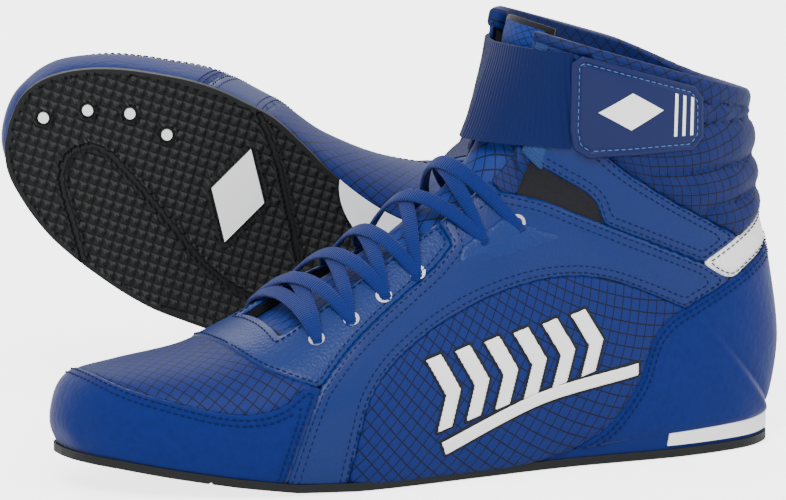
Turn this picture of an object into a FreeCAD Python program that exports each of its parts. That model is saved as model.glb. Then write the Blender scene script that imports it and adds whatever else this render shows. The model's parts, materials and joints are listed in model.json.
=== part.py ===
"""A pair of boxing boots: the left one stands, the right one lies behind it on its lateral side.

Each boot is drawn once, in the left boot's own frame: heel at x = 0, toe towards -X, lateral side
towards -Y, floor at z = 0, all in millimetres. The right boot is its mirror image, laid down.
"""
import FreeCAD, Part
import math
import os
from FreeCAD import Placement, Rotation, Vector

# Driving sizes: alias, value, meaning (mm and degrees).
SIZES = [
    ("outsole_thick", 3.6, "rubber outsole at its edge"),
    ("seat_height", 4.0, "edge of the upper above the tread"),
    ("sole_lip", 2.0, "how far the sole stands out past the upper"),
    ("board_thick", 0.8, "lasting board"),
    ("board_inset", 1.2, "board edge inside the sole line"),
    ("footbed_inset", 6.0, "footbed edge inside the sole line"),
    ("wedge_lip", 1.0, "how far the wedge stands out past the upper"),
    ("footbed_thick", 4.0, "foam footbed"),
    ("panel_thick", 1.0, "outer panels"),
    ("lining_thick", 3.0, "foam and lining behind the panels"),
    ("stiffener_thick", 0.8, "toe puff and heel stiffener"),
    ("tongue_gap", 0.9, "air between lining and tongue"),
    ("tongue_thick", 4.0, "padded tongue"),
    ("throat_half", 19.0, "half the width of the lace opening"),
    ("tongue_half", 23.0, "half the width of the tongue"),
    ("eyelet_outer", 3.2, "eyelet flange radius"),
    ("eyelet_bore", 1.9, "eyelet hole radius"),
    ("eyelet_proud", 0.7, "eyelet flange above the panel"),
    ("lace_radius", 1.5, "lace drawn as a round cord"),
    ("pile_thick", 0.4, "hook and loop pads"),
    ("strap_clear", 0.75, "strap above the shaft"),
    ("elastic_thick", 1.9, "woven elastic of the ankle strap"),
    ("tab_thick", 3.0, "moulded strap tab"),
    ("badge_thick", 0.7, "raised white graphics"),
    ("dot_radius", 2.2, "white pivot dots in the tread"),
    ("dot_deep", 1.5, "depth of dots and sole badge"),
    ("strip_thick", 0.8, "white strip on the wedge"),
    ("reach", 150.0, "length of the cutting prisms"),
    ("heel_seat", 60.0, "heel back to the origin, along the sole"),
    ("right_yaw", 25.0, "right boot: turn about the vertical"),
    ("right_raise", 15.5, "right boot: toe raised"),
    ("right_lean", 3.5, "right boot: shaft raised"),
    ("right_ahead", 67.0, "right boot: heel past the origin"),
    ("right_aside", 58.0, "right boot: heel behind the left boot"),
]

# Cross-sections of the upper from the toe to above the collar. Each joins a point of the front
# ridge to one of the sole edge or heel back: ridge x z, low x z, centre y, widest half-widths
# (lateral, medial), half-widths at the sole (lateral, medial), place of the widest point along
# the section, and the roundness of its upper and lower part.
COLUMNS = ("ridge_x", "ridge_z", "low_x", "low_z", "centre", "wide_lat", "wide_med",
           "sole_lat", "sole_med", "widest", "round_up", "round_low")
STATIONS = [
    (-291.5, 16.5, -291.5, 16.5, 14, 0, 0, 0, 0, .60, 2.0, 2.0),
    (-295, 27, -290.8, 16.4, 14, 10, 10, 8, 8, .60, 2.1, 2.0),
    (-291, 39.5, -288, 16, 13.5, 18, 17.5, 16, 15.5, .60, 2.3, 2.0),
    (-283, 45.5, -281, 15, 13, 27, 26.5, 24, 23.5, .60, 2.4, 2.0),
    (-263, 48.5, -264, 12, 11, 38, 37, 35, 34, .60, 2.4, 2.0),
    (-238, 52.5, -240, 8, 8, 45, 44.5, 42, 42, .62, 2.3, 2.0),
    (-214, 63, -217, 5, 5, 48, 48.5, 45, 46, .64, 2.15, 2.0),
    (-192, 77, -192, 4, 2, 47, 46, 44, 44, .66, 2.0, 2.0),
    (-172, 90, -163, 4, -1, 42.5, 38.5, 39, 31, .66, 1.95, 2.0),
    (-153, 103, -128, 4, -2, 39, 34.5, 33.5, 20.5, .64, 1.95, 2.0),
    (-137, 115, -90, 7.5, -2, 36.5, 33.5, 30, 24, .60, 2.0, 2.0),
    (-126, 126, -50, 10.5, -1, 35, 33.5, 31, 30, .57, 2.05, 2.1),
    (-121.5, 135, -18, 11.5, 0, 34.5, 34, 26, 26, .55, 2.1, 2.2),
    (-120, 139, -6, 12, 0, 34.5, 34, 19, 19, .54, 2.1, 2.2),
    (-119, 142, 1.5, 12.5, 0, 34.8, 34.3, 9.5, 9.5, .53, 2.15, 2.3),
    (-118, 145, 4, 14, 0, 35, 34.5, 0, 0, .53, 2.15, 2.3),
    (-116, 151, 9, 39, 0, 36, 35.5, 0, 0, .52, 2.2, 2.2),
    (-114, 156, 5, 70, 0, 37, 36.5, 0, 0, .5, 2.2, 2.2),
    (-112, 162, -2, 99, 0, 38, 37.5, 0, 0, .5, 2.2, 2.2),
    (-110.5, 168, -5, 122, 0, 39, 38.5, 0, 0, .5, 2.2, 2.2),
    (-109, 174, -6.5, 141, 0, 39.5, 39, 0, 0, .5, 2.2, 2.2),
    (-107.5, 180, -7, 147, 0, 39.5, 39, 0, 0, .5, 2.2, 2.2),
]
HEEL = 15        # first section that closes behind the heel
COLLAR = 20      # section at the collar rim
STEPS = 2        # surface rows per section
ACROSS = 12      # surface points across a section
TOE_INWARD = (0.75, 0.66)

# Seams of the side panels, as x z points shared by the panels on either side of them.
RAND_TOP = [(-286, 48), (-278, 43), (-266, 39), (-247, 34), (-233, 33), (-222, 36), (-213, 42),
            (-207, 42)]
BAND_FRONT = [(-207, 42), (-213, 30), (-218, 16), (-222, 2)]
EYESTAY_FRONT = [(-236, 62), (-228, 51), (-219, 46.5), (-207, 42)]
EYESTAY_SEAM = [(-207, 42), (-194, 55), (-180, 65.5), (-167, 74), (-152, 84), (-143, 92)]
ARCH_INNER = [(-196, 2), (-192, 21), (-186, 38), (-172, 52), (-147, 66), (-119, 75), (-96, 77),
              (-78, 74), (-60, 67), (-45, 60)]
BAND_TOP = [(-121, 111), (-105, 107), (-91, 101), (-77, 95), (-61, 88), (-38, 78)]
COUNTER_FRONT = [(-45, 60), (-52, 56), (-59, 48), (-65, 33), (-73, 22), (-81, 14), (-92, 8),
                 (-96, 2)]
COUNTER_TOP = [(-45, 60), (-26, 69), (20, 90)]
STRIPE_LOW = [(-38, 78), (-25, 71), (-14, 75.5), (20, 92)]
STRIPE_TOP = [(-38, 78), (-20, 87), (20, 107)]
GORE_EDGE = [(-107, 122), (-96, 115), (-88, 110), (-83, 105), (-80, 96.2)]
OVERLAY_TOP = [(-20, 87), (-53, 105), (-78, 123), (-86, 140), (-88, 190)]

# The black outsole leaves a white shank piece on the medial waist (x y points).
SHANK_EDGE = [(-158, 40), (-158, 25.5), (-143.5, 9), (-120, 2), (-98, 8), (-86, 40)]
SHANK_DEEP = 2.0
DOT_PLACES = [(-280.7, 20.6), (-264.4, 29), (-247.7, 32.9), (-231.1, 29)]
EYELET_PLACES = [(-203, 59), (-188.5, 66), (-174, 74), (-159, 82), (-131, 93), (-116, 99)]

doc = FreeCAD.newDocument("boxing_boots")
sheet = doc.addObject("Spreadsheet::Sheet", "Sizes")
for row, (alias, value, meaning) in enumerate(SIZES, start=1):
    sheet.set("A%d" % row, meaning)
    sheet.set("B%d" % row, str(value))
    sheet.setAlias("B%d" % row, alias)
doc.recompute()


def size(alias):
    return float(sheet.get(alias))


def blend(column, s):
    """A column of the section table at any s, smooth and free of overshoot."""
    last = len(STATIONS) - 1
    index = min(int(s), last - 1)
    f = s - index
    k = COLUMNS.index(column)

    def value(i):
        return STATIONS[min(max(i, 0), last)][k]

    def slope(i):
        before, after = value(i) - value(i - 1), value(i + 1) - value(i)
        if i <= 0:
            return after
        if i >= last:
            return before
        return 2 * before * after / (before + after) if before * after > 0 else 0.0

    rise = value(index + 1) - value(index)
    ends = slope(index) + slope(index + 1)
    return value(index) + f * slope(index) + f * f * (3 * rise - ends - slope(index)) \
        + f * f * f * (ends - 2 * rise)


def inward(path, s):
    """Unit vector in the side view, at right angles to the ridge or low path, into the boot."""
    a, b = max(s - 0.05, 0), min(s + 0.05, len(STATIONS) - 1)
    dx = blend(path + "_x", b) - blend(path + "_x", a)
    dz = blend(path + "_z", b) - blend(path + "_z", a)
    turn = 1 if path == "ridge" else -1
    nx, nz = turn * dz / math.hypot(dx, dz), -turn * dx / math.hypot(dx, dz)
    if s < 1:
        nx, nz = nx * s + TOE_INWARD[0] * (1 - s), nz * s + TOE_INWARD[1] * (1 - s)
    return nx, nz


def quarter(a, b, power, angle):
    """Point of a superellipse quarter, a along angle 0 and b along 90 degrees."""
    turn = math.atan2(b * math.sin(angle), a * math.cos(angle))
    c, s = math.cos(turn), math.sin(turn)
    reach = (abs(c / a) ** power + abs(s / b) ** power) ** (-1 / power)
    return reach * c, reach * s


def upper_point(s, across, depth):
    """Point of the upper: section s, across from -1 (lateral edge) by 0 (ridge) to 1 (medial)."""
    nx, nz = inward("ridge", s)
    rx, rz = blend("ridge_x", s) + depth * nx, blend("ridge_z", s) + depth * nz
    nx, nz = inward("low", s)
    lx, lz = blend("low_x", s) + depth * nx, blend("low_z", s) + depth * nz
    side = "lat" if across < 0 else "med"
    wide = blend("wide_" + side, s) - depth * min(1, s)
    foot = blend("sole_" + side, s)
    foot -= depth * min(1, foot / 12)
    length = math.hypot(lx - rx, lz - rz)
    if length < 1e-6:
        return Vector(rx, blend("centre", s), rz)
    upper = blend("widest", s)
    turn = abs(across) * 2
    if turn <= 1:
        down, half = quarter(upper * length, wide, blend("round_up", s), turn * math.pi / 2)
        along = upper - down / length
    else:
        out, down = quarter(wide - foot, (1 - upper) * length, blend("round_low", s),
                            (turn - 1) * math.pi / 2)
        half, along = foot + out, upper + down / length
    if across in (-1, 0, 1):
        half = foot if across else 0
    sign = -1 if across < 0 else 1
    return Vector(rx + (lx - rx) * along, blend("centre", s) + sign * half, rz + (lz - rz) * along)


def across_at(s, half):
    """The value of across where the upper's half-width reaches half."""
    low, high = 0.0, 0.5
    for _ in range(20):
        middle = (low + high) / 2
        if upper_point(s, middle, 0).y - blend("centre", s) < half:
            low = middle
        else:
            high = middle
    return low


def pole_surface(grid):
    """Cubic surface with the grid as its control net; its edges depend on the edge rows alone."""
    def ends(count):
        return [4] + [1] * (count - 4) + [4], [float(i) for i in range(count - 2)]
    rows, row_knots = ends(len(grid))
    columns, column_knots = ends(len(grid[0]))
    surface = Part.BSplineSurface()
    surface.buildFromPolesMultsKnots(grid, rows, columns, row_knots, column_knots, False, False, 3, 3)
    return surface


def sewn(faces):
    shell = Part.makeShell(faces)
    shell.sewShape()
    solid = Part.makeSolid(Part.Shell(shell.Faces) if shell.ShapeType != "Shell" else shell)
    if solid.Volume < 0:
        solid.reverse()
    return solid


def edges_of(surface):
    u0, u1, v0, v1 = surface.bounds()
    curves = {"start": surface.uIso(u0), "end": surface.uIso(u1),
              "lateral": surface.vIso(v0), "medial": surface.vIso(v1)}
    return curves


def patch_pair(first, last, sides, outer, inner):
    """Outer and inner surface over sections first to last, between two places across."""
    count = max(int(round((last - first) * STEPS)) + 1, 5)
    pair = []
    for depth in (outer, inner):
        grid = []
        for i in range(count):
            s = first + (last - first) * i / (count - 1)
            low, high = sides(s)
            grid.append([upper_point(s, low + (high - low) * j / ACROSS, depth)
                         for j in range(ACROSS + 1)])
        pair.append(pole_surface(grid))
    return pair


def lateral_half(s):
    return -1, 0


def medial_half(s):
    return 0, 1


def ruled(pair, name):
    one, two = [edges_of(surface)[name] for surface in pair]
    return Part.makeRuledSurface(one.toShape(), two.toShape())


def layer(outer, inner, first=0, last=COLLAR):
    """Closed skin of the whole upper between two depths."""
    faces = []
    for half, edge in ((lateral_half, "lateral"), (medial_half, "medial")):
        foot = patch_pair(first, HEEL, half, outer, inner)
        shaft = patch_pair(HEEL, last, half, outer, inner)
        faces += [surface.toShape() for surface in foot + shaft]
        faces += [ruled(foot, edge), ruled(shaft, "end")]
        if first > 0:
            faces.append(ruled(foot, "start"))
    return sewn(faces)


def strip(first, last, half_width, outer, inner):
    """Closed solid over the ridge, a set width to each side."""
    def sides(s):
        reach = across_at(s, half_width)
        return -reach, reach
    pair = patch_pair(first, last, sides, outer, inner)
    faces = [surface.toShape() for surface in pair]
    faces += [ruled(pair, name) for name in ("start", "end", "lateral", "medial")]
    return sewn(faces)


def fixed(name, shape):
    feature = doc.addObject("Part::Feature", name)
    feature.Shape = shape
    return feature


def outline_face(segments, flat="side"):
    """Plane face from segments of points; three or more points make a smooth curve."""
    edges = []
    for segment in segments:
        points = [Vector(a, 0, b) if flat == "side" else Vector(a, b, 0) for a, b in segment]
        if len(points) == 2:
            edges.append(Part.makeLine(*points))
        else:
            curve = Part.BSplineCurve()
            curve.interpolate(points)
            edges.append(curve.toShape())
    return Part.Face(Part.Wire(Part.__sortEdges__(edges)))


def joined(*runs):
    """Close a ring of runs with straight lines between the end of one and the start of the next."""
    segments = []
    for index, run in enumerate(runs):
        following = runs[(index + 1) % len(runs)]
        if len(run) > 1:
            segments.append(run)
        if run[-1] != following[0]:
            segments.append([run[-1], following[0]])
    return segments


def prism(name, segments, flat="side", sides="both"):
    """Cutting prism: across the boot from a side view, or upwards from a plan."""
    base = fixed(name + "_outline", outline_face(segments, flat))
    body = doc.addObject("Part::Extrusion", name + "_prism")
    body.Base = base
    body.DirMode = "Custom"
    body.Dir = Vector(0, 1, 0) if flat == "side" else Vector(0, 0, 1)
    body.Solid = True
    zero, reach = "0 mm", "Sizes.reach * 1 mm"
    body.setExpression("LengthFwd", zero if sides == "lateral" else reach)
    body.setExpression("LengthRev", zero if sides == "medial" else reach)
    return body


def common(name, one, two):
    feature = doc.addObject("Part::Common", name)
    feature.Base = one
    feature.Tool = two
    return feature


def cut(name, one, two):
    feature = doc.addObject("Part::Cut", name)
    feature.Base = one
    feature.Tool = two
    return feature


def fused(name, members):
    feature = doc.addObject("Part::MultiFuse", name)
    feature.Shapes = members
    return feature


NODES = {}


def node(label, feature, body="boot"):
    feature.Label = label
    NODES[label] = (feature, body)
    return feature


def lines(points):
    """Straight segments through points."""
    return [list(pair) for pair in zip(points, points[1:])]

def corner(x, z):
    return [(x, z)]

def four(a, b, c, d):
    return lines([a, b, c, d, a])

def lozenge(x, z, long, high):
    return four((x - long / 2, z), (x, z + high / 2), (x + long / 2, z), (x, z - high / 2))

def sole_run(margin):
    """The sole's edge in plan, moved out by margin: toe, lateral side, heel, medial side, toe."""
    def side(name, sign):
        points = []
        for index in range(2, 2 * HEEL):
            s = index / 2
            dx = blend("low_x", s + 0.1) - blend("low_x", s - 0.1)
            dy = blend("centre", s + 0.1) - blend("centre", s - 0.1) \
                + sign * (blend("sole_" + name, s + 0.1) - blend("sole_" + name, s - 0.1))
            step = margin / math.hypot(dx, dy)
            y = blend("centre", s) + sign * blend("sole_" + name, s)
            points.append((blend("low_x", s) - sign * dy * step, y + sign * dx * step))
        return points
    toe = (STATIONS[0][2] - margin, STATIONS[0][4])
    heel = (STATIONS[HEEL][2] + margin, 0)
    return [toe] + side("lat", -1) + [heel] + side("med", 1)[::-1] + [toe]

LOW, HIGH, FRONT, BACK = -12, 200, -320, 30      # far corners of the side-view outlines
TOE_SPARE, TOE_CLIMB = 20, 1.5                   # how the sole lines run on past the toe
LEVEL_ROW = 8                                    # first section whose tread is flat

def floor_run(rise):
    """The tread in side view, raised: up under the toe, then flat to the heel."""
    toe, seat = STATIONS[0], size("seat_height")
    curve = [(toe[2] - TOE_SPARE, toe[3] - seat + TOE_CLIMB + rise)]
    curve += [(row[2], row[3] - seat + rise) for row in STATIONS[1:LEVEL_ROW]]
    return lines(curve + [(BACK, rise)])

def seat_run(rise):
    """The edge where the upper meets the sole, in side view, raised, past toe and heel."""
    toe, heel = STATIONS[0], STATIONS[HEEL]
    places = [(row[2], row[3] + rise) for row in STATIONS[1:HEEL + 1]]
    return lines([(toe[2] - TOE_SPARE, toe[3] + TOE_CLIMB + rise)] + places
                 + [(BACK, heel[3] + 1 + rise)])

def band(lower, upper):
    """Outline between two lists of segments that both run from toe to heel."""
    ring = list(lower) + [[lower[-1][-1], upper[-1][-1]]]
    ring += [run[::-1] for run in reversed(upper)]
    return ring + [[upper[0][0], lower[0][0]]]

def nearest(x, z, side, depth=0):
    """Section and place across whose surface point has this x and z in side view."""
    s, across, step_s, step_a = 10.5, 0.4, 4.5, 0.35

    def miss(trial):
        point = upper_point(trial[0], side * trial[1], depth)
        return math.hypot(point.x - x, point.z - z)
    for _ in range(14):
        trials = [(min(max(s + i * step_s / 4, 1), COLLAR),
                   min(max(across + j * step_a / 4, 0.01), 1))
                  for i in range(-4, 5) for j in range(-4, 5)]
        s, across = min(trials, key=miss)
        step_s, step_a = step_s * 0.55, step_a * 0.55
    return s, side * across

def frame_at(s, across, depth):
    """Placement on the upper with its Z axis out of the surface."""
    here = upper_point(s, across, depth)
    along = upper_point(s + 0.05, across, depth) - here
    around = upper_point(s, across + 0.01, depth) - here
    out = around.cross(along)
    if (upper_point(s, across, depth - 1) - here).dot(out) < 0:
        out = out * -1
    return Placement(here, Rotation(Vector(0, 0, 1), out))

# Skins of the upper, opened at the throat.
panel, lining = size("panel_thick"), size("lining_thick")
inner = panel + lining
ridge_out, ridge_in = [
    [(blend("ridge_x", s / 2) + depth * inward("ridge", s / 2)[0],
      blend("ridge_z", s / 2) + depth * inward("ridge", s / 2)[1]) for s in range(12, 42)]
    for depth in (-10, 24)]
throat = doc.addObject("Part::Extrusion", "throat_tool")
throat.Base = fixed("throat_outline", outline_face(joined(ridge_out, ridge_in[::-1])))
throat.DirMode = "Custom"
throat.Dir = Vector(0, 1, 0)
throat.Solid = True
throat.setExpression("LengthFwd", "Sizes.throat_half * 1 mm")
throat.setExpression("LengthRev", "Sizes.throat_half * 1 mm")
panel_skin = cut("panel_skin", fixed("panel_whole", layer(0, panel)), throat)
lining_skin = cut("lining_skin", fixed("lining_whole", layer(panel, inner)), throat)

# Outer panels: each takes its outline, in side view, from what the ones before it leave.
PANELS = [
    ("heel_stripe", joined(STRIPE_TOP, STRIPE_LOW[::-1])),
    ("toe_rand", joined(corner(FRONT, LOW), corner(FRONT, 50), RAND_TOP, BAND_FRONT,
                        corner(-222, LOW))),
    ("arch_bands", joined(BAND_FRONT[::-1], EYESTAY_SEAM, corner(-158, 135), corner(-137, 140),
                          BAND_TOP, corner(-25, 71), corner(-26, 69), ARCH_INNER[::-1],
                          corner(-196, LOW), corner(-222, LOW))),
    ("eyestays", joined(corner(-236, HIGH), EYESTAY_FRONT, EYESTAY_SEAM, corner(-158, 135),
                        corner(-158, HIGH))),
    ("gores", joined(GORE_EDGE, corner(-85, 90), corner(-114, 104), corner(-114.5, 110))),
    ("heel_counter", joined(COUNTER_TOP, corner(BACK, 92), corner(BACK, LOW), corner(-96, LOW),
                            COUNTER_FRONT[::-1])),
    ("side_panels", joined(ARCH_INNER, COUNTER_FRONT, corner(-96, LOW), corner(-196, LOW))),
    ("ankle_overlays", joined(GORE_EDGE, corner(-80, 88), corner(-40, 74), corner(-30, 80),
                              corner(-22, 85.5), OVERLAY_TOP, corner(-88, HIGH),
                              corner(-112, HIGH), corner(-112, 132))),
    ("vamp", four((FRONT, LOW), (FRONT, HIGH), (-205, HIGH), (-205, LOW))),
]
dealt = {}
rest = panel_skin
for name, outline in PANELS:
    tool = prism(name, outline)
    dealt[name] = common(name + "_share", rest, tool)
    rest = cut(name + "_rest", rest, tool)
for name in ("heel_stripe", "toe_rand", "gores", "heel_counter", "side_panels",
             "ankle_overlays", "vamp"):
    node(name, dealt[name])
node("shaft", rest)

# Eyelets: one is drawn, then copied to each place; its barrel goes through panel and lining.
FLANGE_UP = 0.15
flange = doc.addObject("Part::Cylinder", "eyelet_flange")
flange.setExpression("Radius", "Sizes.eyelet_outer * 1 mm")
flange.setExpression("Height", "Sizes.eyelet_proud * 1 mm")
flange.Placement = Placement(Vector(0, 0, FLANGE_UP), Rotation())
barrel = doc.addObject("Part::Cylinder", "eyelet_barrel")
barrel.setExpression("Radius", "(Sizes.eyelet_bore + 0.5) * 1 mm")
barrel.setExpression("Height", "(Sizes.panel_thick + Sizes.lining_thick + 0.5) * 1 mm")
barrel.Placement = Placement(Vector(0, 0, -inner), Rotation())
bore = doc.addObject("Part::Cylinder", "eyelet_bore_tool")
bore.setExpression("Radius", "Sizes.eyelet_bore * 1 mm")
bore.setExpression("Height", "20 mm")
bore.Placement = Placement(Vector(0, 0, -10), Rotation())
eyelet = cut("eyelet", fused("eyelet_body", [flange, barrel]), bore)
doc.recompute()
seats = [nearest(x, z, side) for side in (-1, 1) for x, z in EYELET_PLACES]
rings, plugs = [], []
for s, across in seats:
    ring = eyelet.Shape.copy()
    ring.Placement = frame_at(s, across, 0)
    rings.append(ring)
    plug = Part.makeCylinder(size("eyelet_bore") + 0.5, 24, Vector(0, 0, -12))
    plug.Placement = frame_at(s, across, 0)
    plugs.append(plug)
node("eyelets", fixed("eyelets", Part.makeCompound(rings)))
holes = fixed("eyelet_holes", Part.makeCompound(plugs))
node("eyestays", cut("eyestays", dealt["eyestays"], holes))
node("arch_bands", cut("arch_bands", dealt["arch_bands"], holes))

# Stiffeners lie in pockets in the lining.
stiff = size("stiffener_thick")
toe_zone = prism("toe_zone", four((FRONT, 24), (FRONT, HIGH), (-262, HIGH), (-248, 24)))
heel_zone = prism("heel_zone", four((-40, 22), (-30, 58), (BACK, 64), (BACK, 22)))
stiff_skin = fixed("stiffener_skin", layer(panel, panel + stiff))
pocket_skin = fixed("pocket_skin", layer(panel / 2, panel + stiff))
node("toe_puff", common("toe_puff", stiff_skin, toe_zone))
node("heel_stiffener", common("heel_stiffener", stiff_skin, heel_zone))
pockets = fused("pockets", [common("toe_pocket", pocket_skin, toe_zone),
                            common("heel_pocket", pocket_skin, heel_zone)])
node("lining", cut("lining", cut("lining_pocketed", lining_skin, pockets), holes))

# Tongue: a padded strip under the lining, sewn at its front end.
TONGUE_ROOT, TONGUE_TOP = 5.8, COLLAR + 0.6
tongue_out = inner + size("tongue_gap")
tongue_in = tongue_out + size("tongue_thick")
node("tongue", fixed("tongue", strip(TONGUE_ROOT, TONGUE_TOP, size("tongue_half"), tongue_out,
                                     tongue_in)), "tongue")

# Lace: one span over the throat for each pair of eyelets.
LACE_UP, LACE_ARCH = 2.8, 1.6
spans = []
for lateral, medial in zip(seats[:len(EYELET_PLACES)], seats[len(EYELET_PLACES):]):
    start = frame_at(lateral[0], lateral[1], -LACE_UP).Base
    end = frame_at(medial[0], medial[1], -LACE_UP).Base
    top = upper_point((lateral[0] + medial[0]) / 2, 0, -LACE_UP - LACE_ARCH)
    arc = Part.Arc(start, top, end).toShape()
    ring = Part.Wire(Part.makeCircle(size("lace_radius"), start,
                                     arc.tangentAt(arc.FirstParameter)))
    spans.append(Part.Wire(arc).makePipeShell([ring], True, False))

node("lace", fixed("lace", Part.makeCompound(spans)))

# Ankle strap: elastic from its medial root round the front, then the tab on the lateral side.
STRAP_FROM = 8
strap_out = -size("strap_clear") - size("elastic_thick")
tab_in = -size("strap_clear") - size("pile_thick")
tab_out = tab_in - size("tab_thick")
elastic_skin = fixed("elastic_skin", layer(-size("strap_clear"), strap_out, STRAP_FROM))
near = prism("elastic_near", four((-140, 169), (-93.6, 165.5), (-93.6, 127), (-140, 130.5)),
             sides="lateral")
far = prism("elastic_far", four((-140, 169), (-96.5, 165.5), (-102.5, 127.5), (-140, 130.5)),
            sides="medial")
node("strap_elastic", fused("strap_elastic", [common("elastic_lateral", elastic_skin, near),
                                              common("elastic_medial", elastic_skin, far)]),
     "strap")
TAB_CORNERS = [(-92.5, 133), (-92.5, 161), (-89, 164), (-46, 150), (-42, 145), (-41.5, 129),
               (-46, 124), (-86, 122.5), (-91, 126), (-92.5, 133)]
tab = prism("strap_tab", lines(TAB_CORNERS), sides="lateral")
node("strap_tab", common("strap_tab", fixed("tab_skin", layer(tab_in, tab_out, STRAP_FROM)), tab),
     "tab")
pile = prism("pile", four((-87, 128), (-87, 159), (-47, 146), (-47, 128)), sides="lateral")
hook_skin = fixed("hook_skin", layer(-size("strap_clear"), tab_in, STRAP_FROM))
node("hook_pad", common("hook_pad", hook_skin, pile), "tab")
loop_skin = fixed("loop_skin", layer(0, -size("pile_thick"), STRAP_FROM))
node("loop_pad", common("loop_pad", loop_skin, pile))

# Raised white graphics: a lozenge and three bars on the tab, chevrons over a bar on the side.
badge_skin = fixed("badge_skin", layer(tab_out, tab_out - size("badge_thick"), STRAP_FROM))
marks = [prism("tab_lozenge", lozenge(-72, 142, 26, 15), sides="lateral")]
BARS, BAR_PITCH, BAR_WIDE = 3, 3.6, 1.3
for index in range(BARS):
    x = -54 + BAR_PITCH * index
    marks.append(prism("tab_bar_%d" % index,
                       four((x, 131), (x, 148.5 - index), (x + BAR_WIDE, 148 - index),
                            (x + BAR_WIDE, 131)), sides="lateral"))
node("tab_badge", common("tab_badge", badge_skin, fused("tab_marks", marks)), "tab")

CHEVRONS = 6
side_marks = [prism("side_bar", [[(-154, 13), (-110, 29), (-66, 36)], [(-66, 36), (-66, 41)],
                                 [(-66, 41), (-110, 34), (-156, 18)], [(-156, 18), (-154, 13)]],
                    sides="lateral")]
for index in range(CHEVRONS):
    part = index / CHEVRONS
    x, z = -158 + 78 * part, 22 + 19 * part
    tall, wide, nose = 28 - 4 * part, 7, 4
    side_marks.append(prism("chevron_%d" % index, lines([
        (x, z), (x + wide, z + 2), (x + wide + nose, z + tall / 2 + 2),
        (x + wide - nose, z + tall + 2), (x - nose, z + tall), (x + nose, z + tall / 2),
        (x, z)]), sides="lateral"))
graphic_skin = fixed("graphic_skin", layer(0, -size("badge_thick")))
node("side_graphic", common("side_graphic", graphic_skin, fused("side_marks", side_marks)))

# Sole unit: outsole with a shank piece, dots and a badge let in; wedge, strip, board, footbed.
thick, board = size("outsole_thick"), size("board_thick")
SEAT_GAP, WEDGE_FRONT, WEDGE_START = 0.3, -112, 10

def plate(name, margin, side_outline):
    plan = prism(name + "_plan", [sole_run(margin)], flat="plan")
    return common(name, plan, prism(name + "_side", side_outline))

slab = plate("outsole_slab", size("sole_lip"), band(floor_run(0), floor_run(thick)))
shank_tool = prism("shank_tool", joined(SHANK_EDGE), flat="plan")
shank_side = prism("shank_side", four((-170, -1), (-170, SHANK_DEEP), (-80, SHANK_DEEP), (-80, -1)))
shank_zone = common("shank_zone", shank_tool, shank_side)
node("arch_shank", common("arch_shank", slab, shank_zone))
inlay_side = prism("inlay_side", band(floor_run(-1), floor_run(size("dot_deep"))))
dots = []
for index, (x, y) in enumerate(DOT_PLACES):
    dot = doc.addObject("Part::Cylinder", "dot_%d" % index)
    dot.setExpression("Radius", "Sizes.dot_radius * 1 mm")
    dot.setExpression("Height", "Sizes.reach * 1 mm")
    dot.Placement = Placement(Vector(x, y, LOW), Rotation())
    dots.append(dot)
dot_zone = common("dot_zone", fused("dot_columns", dots), inlay_side)
badge_tool = prism("sole_lozenge", lozenge(-197, 13, 22, 40), flat="plan")
badge_zone = common("badge_zone", badge_tool, inlay_side)
node("pivot_dots", common("pivot_dots", slab, dot_zone))
node("sole_badge", common("sole_badge", slab, badge_zone))
node("outsole", cut("outsole", slab, fused("sole_pockets", [shank_zone, dot_zone, badge_zone])))
wedge_top = [(row[2], row[3] - SEAT_GAP) for row in STATIONS[WEDGE_START:HEEL + 1]]
wedge_ring = lines([(WEDGE_FRONT, thick), (BACK, thick), (BACK, wedge_top[-1][1] + 1)]
                   + wedge_top[::-1] + [(WEDGE_FRONT, thick + 1.4), (WEDGE_FRONT, thick)])
node("wedge", plate("wedge", size("wedge_lip"), wedge_ring))
strip_plan = cut("strip_ring",
                 prism("strip_outer", [sole_run(size("wedge_lip") + size("strip_thick"))],
                       flat="plan"),
                 prism("strip_hole", [sole_run(size("wedge_lip"))], flat="plan"))
strip_side = prism("strip_side", four((-52, 5), (-51, 9.8), (BACK, 12.4), (BACK, 5)))
node("heel_strip", common("heel_strip", strip_plan, strip_side))
node("insole_board", plate("insole_board", -size("board_inset"),
                           band(seat_run(0.1), seat_run(0.1 + board))))
node("footbed", plate("footbed", -size("footbed_inset"),
                      band(seat_run(1), seat_run(1 + size("footbed_thick")))))
doc.recompute()

# Check every object, then stand the left boot at the origin and lay its mirror image behind it.
SLIVER = 5                                       # offcuts below this volume are dropped
for thing in doc.Objects:
    if "Invalid" in thing.State or "Error" in thing.State:
        raise RuntimeError("failed: " + thing.Name)

def solids_of(shape):
    solids = [solid for solid in shape.Solids if solid.Volume > SLIVER]
    return solids[0] if len(solids) == 1 else Part.makeCompound(solids)

for label, (feature, body) in NODES.items():
    if feature.Shape.isNull() or not feature.Shape.isValid() or not feature.Shape.Solids:
        raise RuntimeError("bad shape: " + label)

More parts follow.
